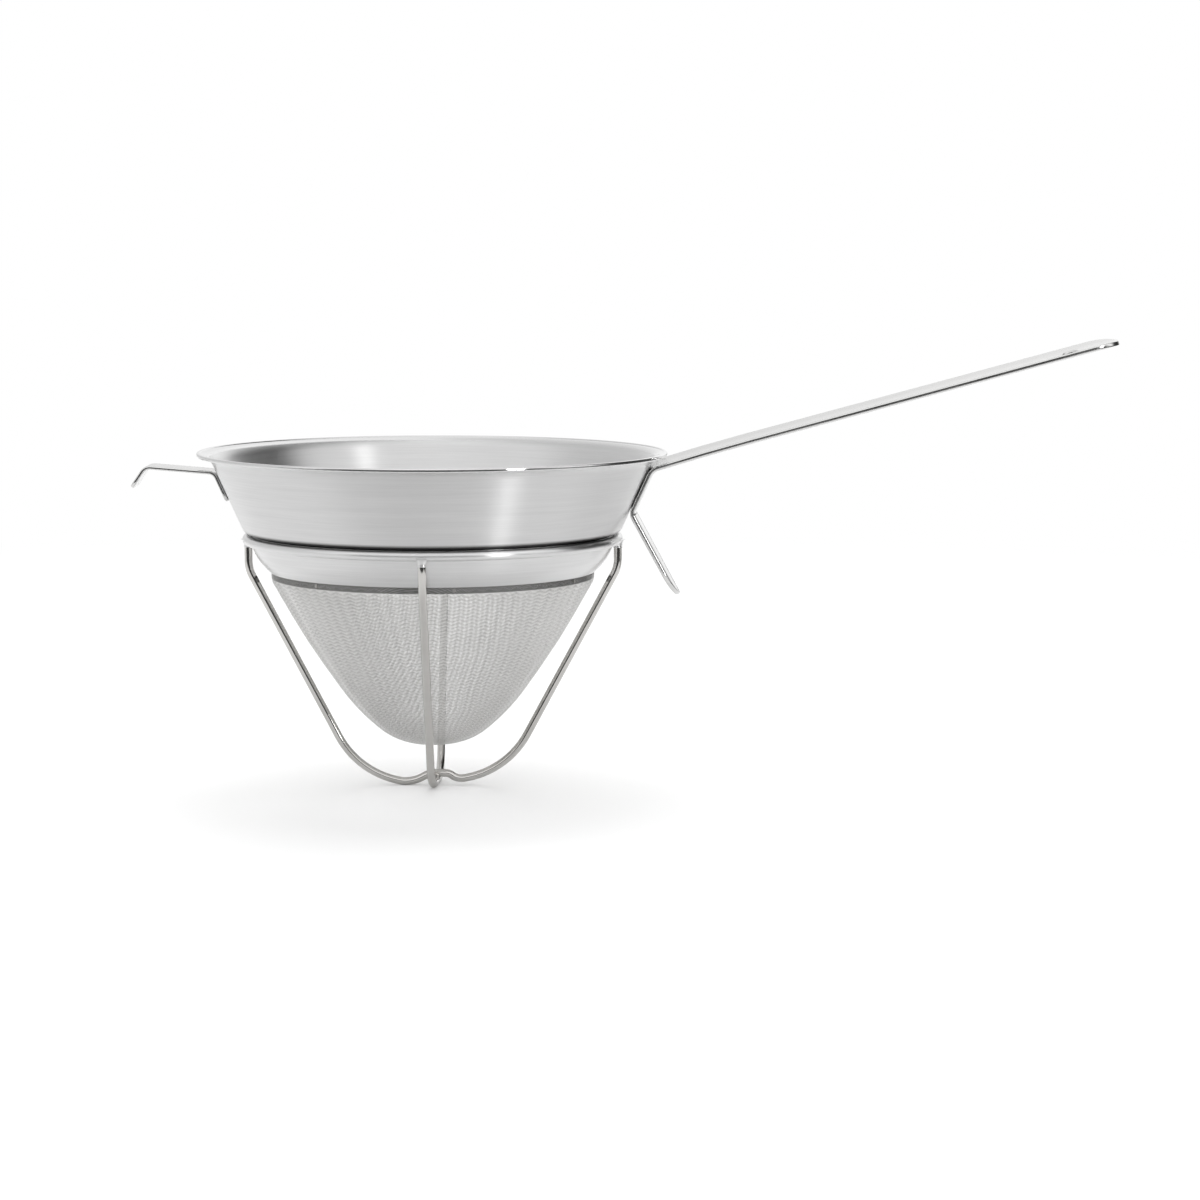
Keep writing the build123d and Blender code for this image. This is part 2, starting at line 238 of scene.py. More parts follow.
def bendStrip(name, size, line, bends):
    # a flat bar gets its corners, hole and soft edges, is cut into short lengths, dished and bent along a line
    stations = roundedLine(line, bends, 0, fineness["stripRun"], fineness["stripBend"])
    length = sum(math.dist(a, b) for a, b in zip(stations, stations[1:]))
    wide, thick = size["width"], size["thickness"]
    bpy.ops.mesh.primitive_cube_add(size=1, location=(length / 2 * mm, 0, -thick / 2 * mm),
                                    scale=(length * mm, wide * mm, thick * mm))
    piece = bpy.context.object
    piece.name = name
    bpy.ops.object.transform_apply(location=True, rotation=True, scale=True)
    enterEdit(piece, "EDGE")
    pickEdges(piece, lambda edge: abs(edge.verts[0].co.z - edge.verts[1].co.z) > thick / 2 * mm)
    bpy.ops.mesh.bevel(offset=size["corner"] * mm, segments=size["cornerSteps"], affect="EDGES")
    bpy.ops.object.mode_set(mode="OBJECT")
    if "hole" in size:
        bpy.ops.mesh.primitive_cylinder_add(vertices=fineness["holeSides"], radius=size["hole"] * mm,
                                            depth=10 * thick * mm, location=(size["holePlace"] * mm, 0, 0))
        cutter = bpy.context.object
        addModifier(piece, "BOOLEAN", {"object": cutter, "operation": "DIFFERENCE", "solver": "EXACT"})
        bpy.data.objects.remove(cutter)
    enterEdit(piece, "EDGE")
    pickEdges(piece, lambda edge: len(edge.link_faces) == 2 and edge.calc_face_angle() > math.radians(60))
    bpy.ops.mesh.bevel(offset=size["edge"] * mm, segments=fineness["softEdge"], affect="EDGES")
    places, run = [], 0
    for a, b in zip(stations, stations[1:]):
        run += math.dist(a, b)
        places.append(run)
    for place in places[:-1]:
        bpy.ops.mesh.select_all(action="SELECT")
        bpy.ops.mesh.bisect(plane_co=(place * mm, 0, 0), plane_no=(1, 0, 0))
    rows = fineness["stripRows"]
    for i in range(1, rows):
        bpy.ops.mesh.select_all(action="SELECT")
        bpy.ops.mesh.bisect(plane_co=(0, (i - rows / 2) * wide / rows * mm, 0), plane_no=(0, 1, 0))
    bpy.ops.object.mode_set(mode="OBJECT")
    dish = piece.vertex_groups.new(name="dish")
    shares, depths = zip(*size["dish"])
    for point in piece.data.vertices:
        across = point.co.y / (wide / 2 * mm)
        share = np.interp(point.co.x / mm / length, shares, depths)
        dish.add([point.index], float((1 - across * across) * share / size["dishMost"]), "REPLACE")
    addModifier(piece, "DISPLACE", {"direction": "Z", "mid_level": 0, "strength": -size["dishMost"] * mm,
                                    "vertex_group": "dish"})
    course = bpy.data.curves.new(name + "Course", "CURVE")
    course.dimensions = "3D"
    course.twist_mode = "MINIMUM"
    spline = course.splines.new("POLY")
    spline.points.add(len(stations) - 1)
    for point, (out, up) in zip(spline.points, stations):
        point.co = (out * mm, 0, up * mm, 1)
    guide = bpy.data.objects.new(name + "Course", course)
    bpy.context.collection.objects.link(guide)
    addModifier(piece, "CURVE", {"object": guide, "deform_axis": "POS_X"})
    bpy.data.objects.remove(guide)
    enterEdit(piece)
    closeShell()
    return piece


# Finishes
class Flow:
    # a socket that sums can be written with
    def __init__(self, finish, socket):
        self.finish = finish
        self.socket = socket

    def __add__(self, other):
        return self.finish.math("ADD", self, other)

    def __sub__(self, other):
        return self.finish.math("SUBTRACT", self, other)

    def __rsub__(self, other):
        return self.finish.math("SUBTRACT", other, self)

    def __mul__(self, other):
        return self.finish.math("MULTIPLY", self, other)

    def __truediv__(self, other):
        return self.finish.math("DIVIDE", self, other)


class Finish:
    def __init__(self, owner):
        owner.use_nodes = True
        self.owner = owner
        self.tree = owner.node_tree
        self.tree.nodes.clear()

    def add(self, kind, settings=None, sockets=None, take=0):
        node = self.tree.nodes.new(kind)
        for key, value in (settings or {}).items():
            if key == "stops":
                while len(node.color_ramp.elements) < len(value):
                    node.color_ramp.elements.new(1)
                for element, (place, colour) in zip(node.color_ramp.elements, value):
                    element.position = place
                    element.color = colour
            else:
                setattr(node, key, value)
        for key, value in (sockets or {}).items():
            if isinstance(value, Flow):
                self.tree.links.new(value.socket, node.inputs[key])
            else:
                node.inputs[key].default_value = value
        return Flow(self, node.outputs[take])

    def math(self, operation, *values):
        return self.add("ShaderNodeMath", {"operation": operation}, dict(enumerate(values)))

    def split(self, vector):
        node = self.add("ShaderNodeSeparateXYZ", None, {0: vector}).socket.node
        return [Flow(self, socket) for socket in node.outputs]

    def join(self, *values):
        return self.add("ShaderNodeCombineXYZ", None, dict(enumerate(values)))

    def noise(self, vector, scale, detail=2.0):
        return self.add("ShaderNodeTexNoise", None, {"Vector": vector, "Scale": scale, "Detail": detail})

    def mixColour(self, share, low, high):
        settings = {"data_type": "RGBA"}
        return self.add("ShaderNodeMix", settings, {0: share, 6: low, 7: high}, 2)

    def ramp(self, value, start, end):
        # rises smoothly from 0 at its start to 1 at its end
        sockets = {"Value": value, "From Min": start, "From Max": end}
        return self.add("ShaderNodeMapRange", {"interpolation_type": "SMOOTHSTEP"}, sockets)

    def bump(self, height, strength, distance):
        return self.add("ShaderNodeBump", None, {"Height": height, "Strength": strength, "Distance": distance})

    def mixShader(self, share, low, high):
        return self.add("ShaderNodeMixShader", None, {0: share, 1: low, 2: high})

    def done(self, shader, kind="ShaderNodeOutputMaterial"):
        node = self.tree.nodes.new(kind)
        self.tree.links.new(shader.socket, node.inputs["Surface"])
        return self.owner

    def metal(self, colour, rough, normal, more=None):
        sockets = {"Base Color": colour, "Metallic": 1.0, "Roughness": rough, "Normal": normal}
        return self.done(self.add("ShaderNodeBsdfPrincipled", None, {**sockets, **(more or {})}))


# Spun and polished sheet, whose turning lines, each a width, turns and detail, run round the axis
sheetSteel = {
    "colour": (0.82, 0.82, 0.82, 1),
    "shade": (0.71, 0.71, 0.71, 1),
    "contrast": 2.0,
    "slant": 0.6,
    "fineLines": (0.4, 3, 3),
    "broadLines": (2.6, 1.5, 2),
    "cloud": (28, 2),
    "roughness": 0.36,
    "roughening": (0.05, 0.04, 0.04),
    "polishHeights": (144.5, 145.1),
    "polished": 0.13,
    "anisotropy": 0.95,
    "anisotropyTurn": 0.25,
    "lineStrength": 0.3,
    "lineDepth": 0.0012,
    # painted shade for the groove above the rolled edge: its colour, the heights it spans and how far down its
    # faces look
    "seamShade": (0.08, 0.08, 0.08, 1),
    "seamShadeHeights": (112.2, 114.0),
    "seamShadeFacing": -0.05,
    "outsideFacing": 0.5,
    "leastRadius": 0.01,
}


def makeSheetSteel(name, values):
    finish = Finish(bpy.data.materials.new(name))
    place = finish.add("ShaderNodeTexCoord", None, None, 3)
    x, y, z = finish.split(place)
    radius = finish.math("SQRT", x * x + y * y) + values["leastRadius"] * mm
    sheet = z + radius * values["slant"]
    east, north = x / radius, y / radius

    def lines(width, turns, detail):
        return finish.noise(finish.join(sheet / (width * mm), east * turns, north * turns), 1, detail)

    fine, broad = lines(*values["fineLines"]), lines(*values["broadLines"])
    cloud = finish.noise(place, *values["cloud"])
    tone = fine * 0.5 + broad * 0.5
    colour = finish.mixColour((tone - 0.5) * values["contrast"] + 0.5, values["shade"], values["colour"])
    # painted shade in the groove above the rolled edge, on faces that look down
    eastward, northward, upward = finish.split(finish.add("ShaderNodeNewGeometry", None, None, 1))
    under = finish.math("LESS_THAN", upward, values["seamShadeFacing"])
    low, high = values["seamShadeHeights"]
    groove = finish.ramp(z, high * mm, low * mm)
    colour = finish.mixColour(groove * under, colour, values["seamShade"])
    if "outside" in values:
        # painted shade: the face that lies against the cloth is painted near black, for the shadow it lies in
        # behind the cloth
        outward = finish.math("GREATER_THAN", eastward * east + northward * north, values["outsideFacing"])
        colour = finish.mixColour(outward, colour, values["outside"])
    fineRough, broadRough, cloudRough = values["roughening"]
    rough = (fine - 0.5) * fineRough + (broad - 0.5) * broadRough + (cloud - 0.5) * cloudRough
    # the rounded edge is polished bright
    low, high = values["polishHeights"]
    polish = finish.ramp(z, low * mm, high * mm)
    rough = rough + values["roughness"] - polish * (values["roughness"] - values["polished"])
    normal = finish.bump(fine * (1 - polish), values["lineStrength"], values["lineDepth"] * mm)
    return finish.metal(colour, rough, normal, {
        "Anisotropic": values["anisotropy"], "Anisotropic Rotation": values["anisotropyTurn"]})


# Drawn wire, polished, with faint marks on it; every noise is a scale and a detail
wireSteel = {
    "colour": (0.71, 0.698, 0.68, 1),
    "shade": (0.57, 0.557, 0.535, 1),
    "grain": (900, 3),
    "patch": (90, 2),
    "patchShare": 0.8,
    "roughness": 0.08,
    "roughening": 0.06,
    "markStrength": 0.2,
    "markDepth": 0.004,
}


def makeWireSteel(name, values):
    finish = Finish(bpy.data.materials.new(name))
    place = finish.add("ShaderNodeTexCoord", None, None, 3)
    grain = finish.noise(place, *values["grain"])
    patch = finish.noise(place, *values["patch"])
    share = values["patchShare"]
    colour = finish.mixColour(patch * share + grain * (1 - share), values["shade"], values["colour"])
    rough = (grain - 0.5) * values["roughening"] + (patch - 0.5) * values["roughening"] + values["roughness"]
    normal = finish.bump(grain, values["markStrength"], values["markDepth"] * mm)
    return finish.metal(colour, rough, normal)


# Strip steel, tumbled, with grain along the strip: its scale lengthwise, crosswise and its detail
stripSteel = {
    "colour": (0.8, 0.798, 0.792, 1),
    "shade": (0.7, 0.698, 0.692, 1),
    "slope": 15.13,
    "grain": (60, 1800, 3),
    "patch": (60, 3),
    "pits": (700, 2),
    "patchShare": 0.6,
    "grainShare": 0.6,
    "roughness": 0.19,
    "roughening": 0.16,
    "markStrength": 0.3,
    "markDepth": 0.008,
}


def makeStripSteel(name, values):
    finish = Finish(bpy.data.materials.new(name))
    place = finish.add("ShaderNodeTexCoord", None, None, 3)
    slope = (0, math.radians(values["slope"]), 0)
    turned = finish.add("ShaderNodeMapping", None, {"Vector": place, "Rotation": slope})
    lengthwise, across, depth = finish.split(turned)
    longScale, crossScale, detail = values["grain"]
    stretched = finish.join(lengthwise * longScale, across * crossScale, depth * crossScale)
    grain = finish.noise(stretched, 1, detail)
    patch = finish.noise(place, *values["patch"])
    pits = finish.noise(place, *values["pits"])
    share = values["patchShare"]
    colour = finish.mixColour(patch * share + grain * (1 - share), values["shade"], values["colour"])
    rough = (grain - 0.5) * values["roughening"] + (patch - 0.5) * values["roughening"] + values["roughness"]
    share = values["grainShare"]
    normal = finish.bump(grain * share + pits * (1 - share), values["markStrength"], values["markDepth"] * mm)
    return finish.metal(colour, rough, normal)


# Weld metal, a little darker and rougher
weldSteel = {
    "colour": (0.5, 0.49, 0.47, 1),
    "shade": (0.32, 0.31, 0.3, 1),
    "grain": (1400, 3),
    "roughness": 0.34,
    "roughening": 0.2,
    "markStrength": 0.4,
    "markDepth": 0.02,
}


def makeWeldSteel(name, values):
    finish = Finish(bpy.data.materials.new(name))
    grain = finish.noise(finish.add("ShaderNodeTexCoord", None, None, 3), *values["grain"])
    colour = finish.mixColour(grain, values["shade"], values["colour"])
    rough = (grain - 0.5) * values["roughening"] + values["roughness"]
    normal = finish.bump(grain, values["markStrength"], values["markDepth"] * mm)
    return finish.metal(colour, rough, normal)


# Woven wire cloth: the wires of both ways cross over and under, and what lies between them is open
wireCloth = {
    "colour": (0.92, 0.915, 0.9, 1),
    "shade": (0.44, 0.435, 0.425, 1),
    "pitch": 0.66,
    "wireShare": 0.3,
    "turn": 4,
    "bodyShare": 0.6,
    "heightShadeShare": 0.7,
    "cloud": (45, 2),
    "roughness": 0.3,
    "roughening": 0.1,
    "markStrength": 0.5,
    "markShare": 0.25,
    # painted moiré: its columns, rung, chevron slant, patchiness, strength and shares
    "columns": 72,
    "rung": 1.75,
    "chevron": 1.2,
    "patch": (0.05, 2),
    "paintedMoire": 0.34,
    "paintedMoireShares": (0.7, 1.2, -0.3),
    "edgeFrom": 92.2,
    "edgeShade": (0.12, 0.118, 0.115, 1),
    "edgeShadeLift": 0.5,
}


def makeWireCloth(name, values):
    finish = Finish(bpy.data.materials.new(name))
    place = finish.add("ShaderNodeTexCoord", None, None, 3)
    flat = finish.add("ShaderNodeUVMap", {"uv_map": "cloth"})
    turn = (0, 0, math.radians(values["turn"]))
    u, v = finish.split(finish.add("ShaderNodeMapping", None, {"Vector": flat, "Rotation": turn}))[:2]
    warp, weft = u / values["pitch"], v / values["pitch"]
    share, bodyShare = values["wireShare"], values["bodyShare"]

    def wires(across, lengthwise, start):
        # how high a row of wires stands, from 0 at its edge, and where it is wire
        cell = finish.math("FLOOR", across)
        off = finish.math("ABSOLUTE", across - cell - 0.5)
        isWire = finish.math("LESS_THAN", off, share / 2)
        body = 1 - off * off * (4 / share / share)
        wave = finish.math("COSINE", (lengthwise + cell + start) * math.pi)
        return isWire, body * bodyShare + wave * (1 - bodyShare)

    isWarp, warpHeight = wires(warp, weft - 0.5, 0)
    isWeft, weftHeight = wires(weft, warp - 0.5, 1)
    height = finish.math("MAXIMUM", isWarp * (warpHeight + 1), isWeft * (weftHeight + 1)) * 0.5
    solid = finish.math("MAXIMUM", isWarp, isWeft)
    cloud = finish.noise(place, *values["cloud"])
    # painted moiré: light and dark chevrons in columns that run down to the tip, painted as the shimmer of the
    # cloth's two layers seen through each other
    east, north = finish.split(flat)[:2]
    far = finish.math("SQRT", east * east + north * north)
    column = finish.math("ARCTAN2", north, east) * (values["columns"] / 2 / math.pi) + values["columns"]
    aside = finish.math("ABSOLUTE", finish.math("FRACT", column) - 0.5)
    stripe = finish.math("SINE", (far / values["rung"] + aside * values["chevron"]) * (2 * math.pi))
    patch = finish.noise(flat, *values["patch"])
    stripeShare, asideShare, level = values["paintedMoireShares"]
    paintedMoire = (stripe * stripeShare + aside * asideShare + level) * patch * (2 * values["paintedMoire"])
    # painted shade: the wires are painted lighter where they stand high and darker at their sides and where they
    # dip under
    share = values["heightShadeShare"]
    tone = height * share + cloud * (1 - share) + paintedMoire
    colour = finish.mixColour(tone, values["shade"], values["colour"])
    # painted shade: the cloth is painted darker along the edge, where the clamp ring lies in shadow behind it, and
    # less so on the wire tops
    edge = finish.math("GREATER_THAN", finish.split(place)[2], values["edgeFrom"] * mm)
    colour = finish.mixColour(edge * (1 - height * values["edgeShadeLift"]), colour, values["edgeShade"])
    rough = (cloud - 0.5) * values["roughening"] + values["roughness"]
    normal = finish.bump(height, values["markStrength"], values["pitch"] * values["markShare"] * mm)
    return finish.metal(colour, rough, normal, {"Alpha": solid})


# Collar and clamp ring get no painted shade in a groove
plainSheet = {**sheetSteel, "seamShadeHeights": (0, 1)}
bowlSteel = makeSheetSteel("bowlSteel", sheetSteel)
collarSteel = makeSheetSteel("collarSteel", {**plainSheet, "roughness": 0.3, "anisotropy": 0.85})
# the clamp ring's outward face gets a near-black painted shade
clampSteel = makeSheetSteel("clampSteel", {**plainSheet, "outside": (0.04, 0.04, 0.039, 1)})
guardSteel = makeWireSteel("guardSteel", wireSteel)
handleSteel = makeStripSteel("handleSteel", stripSteel)
hookSteel = makeStripSteel("hookSteel", {**stripSteel, "slope": 0})
weldMetal = makeWeldSteel("weldMetal", weldSteel)
clothSteel = makeWireCloth("clothSteel", wireCloth)
print("finishes made")


# Bowl: one sheet from the lip down into the collar, its edge rounded
bowl = {
    "ringRadius": 80.25,
    "ringHeight": 109.0,
    "wallInset": 0.077,
    "wallAngle": 24.2,
    "rise": 37.6,
    "rimFlare": 4.285,
    "bead": 0.85,
    "beadFullness": 0.6,
    "joinAir": 0.05,
    "joinDepth": 2.0,
    "sheet": 1.0,
    "bendShares": [0.995, 0.72, 0.2],
    "skirtShare": 0.55,
    "seam": 0.6,
    "around": 256,
}
collar = {
    "inset": 9.55,
    "depth": 12.75,
    "waistShares": (0.598, 0.401),
    "bulgeShare": 0.48,
    "rootBend": 4.0,
    "roll": 1.25,
    "rollShare": 0.96,
    "rollEnd": 0.3,
    "sheet": 0.8,
    "air": 0.1,
    "around": 256,
}


def wallRadius(height):
    rise = (height - bowl["ringHeight"]) * math.tan(math.radians(bowl["wallAngle"]))
    return bowl["ringRadius"] - bowl["wallInset"] + rise


rollLow = bowl["ringHeight"] - collar["roll"]
rollHigh = bowl["ringHeight"] + collar["roll"]
rollNear = bowl["ringRadius"] - collar["roll"]
rollFar = bowl["ringRadius"] + collar["roll"]
collarEdge = (bowl["ringRadius"] - collar["inset"], rollLow - collar["depth"])
waistOut, waistUp = collar["waistShares"]
collarWaist = (collarEdge[0] + (rollNear - collarEdge[0]) * waistOut, collarEdge[1] + collar["depth"] * waistUp)
collarLine = [collarEdge, collarWaist, (rollNear, rollLow), (rollNear, rollHigh), (rollFar, rollHigh),
              (rollFar, rollLow), between((rollNear, rollLow), (rollFar, rollLow), collar["rollEnd"])]
rollCorner = collar["roll"] * collar["rollShare"]
collarBends = bendsFromShares(collarLine[:3], [collar["bulgeShare"]]) + [collar["rootBend"]] + [rollCorner] * 3
collarInside = shifted(collarLine[:4], collar["sheet"] + collar["air"])

rimHeight = bowl["ringHeight"] + bowl["rise"]
lipHeight = rimHeight - bowl["bead"] - bowl["sheet"] / 2
beadPlace = wallRadius(lipHeight) + bowl["rimFlare"]
shelfHeight = rollHigh + collar["sheet"] + bowl["seam"]
bowlLine = [(beadPlace, lipHeight), (wallRadius(lipHeight), lipHeight), (wallRadius(shelfHeight), shelfHeight),
            (collarInside[2][0], shelfHeight), collarInside[2],
            between(collarInside[2], collarInside[1], bowl["skirtShare"])]
skirtBend = collar["rootBend"] - collar["sheet"] - collar["air"]
bowlBends = bendsFromShares(bowlLine, bowl["bendShares"]) + [skirtBend]


def fullRound(centre, angle):
    # a round edge with a flatter top and side
    turn = math.radians(angle)
    reaches = [math.copysign(abs(side) ** bowl["beadFullness"], side) for side in (math.cos(turn), math.sin(turn))]
    return tuple(middle + bowl["bead"] * reach for middle, reach in zip(centre, reaches))


def makeBowl():
    outside = roundedLine(bowlLine, bowlBends, 0, fineness["bowlRun"], fineness["bowlBend"])
    inside = roundedLine(bowlLine, bowlBends, -bowl["sheet"], fineness["bowlRun"], fineness["bowlBend"])
    # the bead takes over where the sheet runs into it
    start = 180 - math.degrees(math.asin(bowl["sheet"] / 2 / bowl["bead"]))
    centre = (beadPlace, rimHeight - bowl["bead"])
    reach = fullRound(centre, start)[0]
    steps = fineness["bowlEdge"]
    bead = [fullRound(centre, start - i * 2 * start / steps) for i in range(steps + 1)]
    inside, outside = [[(out, up) for out, up in line
                        if out < reach - bowl["joinAir"] or up < lipHeight - bowl["joinDepth"]]
                       for line in (inside[::-1], outside)]
    piece = spinOutline("spunBowl", inside + bead + outside, bowl["around"])
    settle(piece, bowlSteel, "polished_bowl", "bowl")


def makeCollar():
    near, far = [roundedLine(collarLine, collarBends, distance, fineness["collarRun"], fineness["collarBend"])
                 for distance in (0, collar["sheet"])]
    return spinOutline("spunCollar", near + far[::-1], collar["around"])


makeBowl()

# Guard wires, and where the rolled edge draws in around their tops
guard = {
    "radius": 1.75,
    "sides": 24,
    "topBend": 14.0,
    "lowBend": 38.0,
    "footBend": 12.0,
    "footAngle": 10.0,
    "humpPlace": 1.1,
    "humpRuns": (0.3, 3.8),
    "humpLifts": (0.0, 1.3),
    "humpAngles": (30.0, 37.0),
    "crownShare": 0.4,
    "cornerDrops": (12.1, 11.2, 10.85),
    "crossBends": (26.0, 20.0, 20.0, 26.0),
    "crossLowShare": 0.2,
    "crossShifts": (-0.5, -0.4, 2.0, 1.6),
    "top": 107.35,
    "gap": 0.1,
    "pinch": 3.4,
    "pinchHeight": 3.6,
    "pinchAir": 0.06,
    "pinchEdge": 0.12,
    "pinchOverlap": 0.5,
}
frontDepth = math.sqrt(bowl["ringRadius"] ** 2 - guard["crossShifts"][0] ** 2)
rearDepth = math.sqrt(bowl["ringRadius"] ** 2 - guard["crossShifts"][3] ** 2)
wireTops = [(-bowl["ringRadius"], 0), (bowl["ringRadius"], 0), (guard["crossShifts"][0], -frontDepth),
            (guard["crossShifts"][3], rearDepth)]


def halfMoves(side, level, humpAngle, lift, cornerDrop):
    # from the hump's crown out to the ring
    rise = 2 * guard["radius"] + guard["gap"]
    reach = (rise - lift) / (1 - math.cos(math.radians(humpAngle)))
    crown = reach * guard["crownShare"]
    turns = [(crown, -humpAngle), (reach - crown, humpAngle), (guard["footBend"], guard["footAngle"])]
    place, course = (side * guard["humpPlace"] + level, guard["radius"] + rise), 0
    for bend, turn in turns:
        hand = math.copysign(90, turn)
        centre = along(place, course + hand, bend)
        course += turn
        place = along(centre, course - hand, bend)
    corner = (bowl["ringRadius"], guard["top"] - cornerDrop)
    centre = along(place, course + 90, guard["lowBend"])
    lean = math.asin(guard["lowBend"] / math.dist(centre, corner))
    slope = math.degrees(heading(centre, corner) + lean)
    back = guard["topBend"] * math.tan(math.radians(90 - slope) / 2)
    lowEnd = along(centre, slope - 90, guard["lowBend"])
    axis = (0, -1, 0)
    moves = [("run", level, 0, None)] + [("bend", bend, turn, axis) for bend, turn in turns]
    moves.append(("bend", guard["lowBend"], slope - course, axis))
    moves.append(("run", math.dist(lowEnd, corner) - back, 0, None))
    moves.append(("bend", guard["topBend"], 90 - slope, axis))
    moves.append(("run", cornerDrop - back, 0, None))
    return moves


def makeGuards():
    leftDrop, rightDrop, crossDrop = guard["cornerDrops"]
    left, right = zip(guard["humpRuns"], guard["humpAngles"], guard["humpLifts"])
    moves = halfMoves(-1, *left, leftDrop)[::-1] + halfMoves(1, *right, rightDrop)
    start = (-bowl["ringRadius"], 0, guard["top"])
    piece = bendWire("lengthwiseGuard", guard["radius"], guard["sides"], start, (0, 0, -1), moves)
    settle(piece, guardSteel, "drawn_wire", "guard_wire_lengthwise", smooth=50)
    low = bowl["ringRadius"] * guard["crossLowShare"]
    bendHeight = guard["top"] - crossDrop
    front, frontLow, rearLow, rear = guard["crossShifts"]
    corners = [(front, -frontDepth, guard["top"]), (front, -frontDepth, bendHeight),
               (frontLow, -low, guard["radius"]), (rearLow, low, guard["radius"]),
               (rear, rearDepth, bendHeight), (rear, rearDepth, guard["top"])]
    moves = cornerMoves(corners, guard["crossBends"])
    piece = bendWire("crosswiseGuard", guard["radius"], guard["sides"], corners[0], (0, 0, -1), moves)
    settle(piece, guardSteel, "drawn_wire", "guard_wire_crosswise", smooth=50)


def makePinch(place):
    # a small flared throat between the rolled edge and a wire's top
    inner = guard["radius"] + guard["pinchAir"]
    top = rollLow + guard["pinchOverlap"]
    low = top - guard["pinchHeight"]
    outline = [(inner, top)]
    for angle in range(0, 90, fineness["throatBend"]):
        turn = math.radians(angle)
        outline.append((inner + (guard["pinch"] - inner) * (1 - math.sin(turn)),
                        top - guard["pinchHeight"] * (1 - math.cos(turn))))
    outline += [(inner + guard["pinchEdge"], low), (inner, low)]
    piece = spinOutline("pinch", outline, fineness["throatSides"])
    piece.location = (place[0] * mm, place[1] * mm, 0)
    return piece


makeGuards()
rolled = makeCollar()
throats = [makePinch(place) for place in wireTops]
bpy.ops.object.select_all(action="DESELECT")
for piece in throats + [rolled]:
    piece.select_set(True)
bpy.context.view_layer.objects.active = rolled
bpy.ops.object.join()
settle(rolled, collarSteel, "polished_bowl", "collar", smooth=40)

# Cone of wire cloth, drawn from a flat sheet
cone = {
    "tipHeight": 18.8,
    "band": 4.0,
    "shoulderBend": 6.0,
    "tuckBend": 0.4,
    "tuckShare": 0.5,
    "cornerShares": [(0.79, 0.598), (0.489, 0.2056), (0.2248, 0.0)],
    "roundShares": [0.43, 0.46, 0.7],
    "cloth": 0.14,
    "around": 240,
    "leastRadius": 0.001,
}


def makeCone():
    rim, rimUp = collarInside[0]
    rise = rimUp - cone["tipHeight"]
    line = [between(collarInside[0], collarInside[1], cone["tuckShare"]), collarInside[0],
            (rim, collarEdge[1] - cone["band"])]
    line += [(rim * out, cone["tipHeight"] + rise * up) for out, up in cone["cornerShares"]]
    line.append((0, cone["tipHeight"]))
    bends = [cone["tuckBend"], cone["shoulderBend"]] + bendsFromShares(line[2:], cone["roundShares"])
    outside = roundedLine(line, bends, 0, fineness["coneRun"], fineness["coneBend"])[::-1]
    inside = roundedLine(line, bends, -cone["cloth"], fineness["coneRun"], fineness["coneBend"])
    inside[-1], outside[0] = (0, inside[-1][1]), (0, outside[0][1])
    piece = spinOutline("clothCone", outside + inside, cone["around"], closed=False)
    # the cloth's own flat coordinates, in millimetres from its middle
    runs = np.cumsum([0] + [math.dist(a, b) for a, b in zip(outside, outside[1:])])
    sums = [out + up for out, up in outside]
    mesh = piece.data
    places = np.empty(len(mesh.vertices) * 3)
    mesh.vertices.foreach_get("co", places)
    places = places.reshape(-1, 3) / mm
    radius = np.hypot(places[:, 0], places[:, 1])
    far = np.interp(radius + places[:, 2], sums, runs)
    flat = places[:, :2] * (far / np.maximum(radius, cone["leastRadius"]))[:, None]
    corners = np.empty(len(mesh.loops), dtype=np.int32)
    mesh.loops.foreach_get("vertex_index", corners)
    layer = mesh.uv_layers.new(name="cloth")
    layer.data.foreach_set("uv", flat[corners].ravel())
    settle(piece, clothSteel, "wire_cloth", "mesh_cone", smooth=60)


makeCone()

# Handle and hook, bent from strip
handle = {
    "width": 24.0,
    "thickness": 2.0,
    "corner": 11.95,
    "cornerSteps": 14,
    "edge": 0.5,
    "hole": 3.2,
    "holePlace": 21.5,
    "dishMost": 1.2,
    "dish": [(0, 1.2), (1, 1.2)],
    "overhang": 194.0,
    "rootDrop": 6.0,
    "rootSlope": 17.4,
    "rootRun": 24.5,
    "slope": 15.13,
    "roll": 3.0,
    "rootBend": 7.0,
    "sweepShare": 0.8,
    "padDrop": 20.0,
    "legAngle": 28.3,
    "legLength": 42.6,
    "legBend": 5.2,
}
hook = {
    "width": 17.0,
    "thickness": 1.5,
    "corner": 3.0,
    "cornerSteps": 5,
    "edge": 0.45,
    "dishMost": 0.001,
    "dish": [(0, 0), (1, 0)],
    "rootDrop": 8.4,
    "padDrop": 12.7,
    "overhang": 22.4,
    "armRise": 4.7,
    "tipAngle": 34.0,
    "tipLength": 11.2,
    "bend": 4.7,
}


def padPlace(height):
    return math.sqrt(wallRadius(height) ** 2 - (handle["width"] / 2) ** 2) + collar["air"]


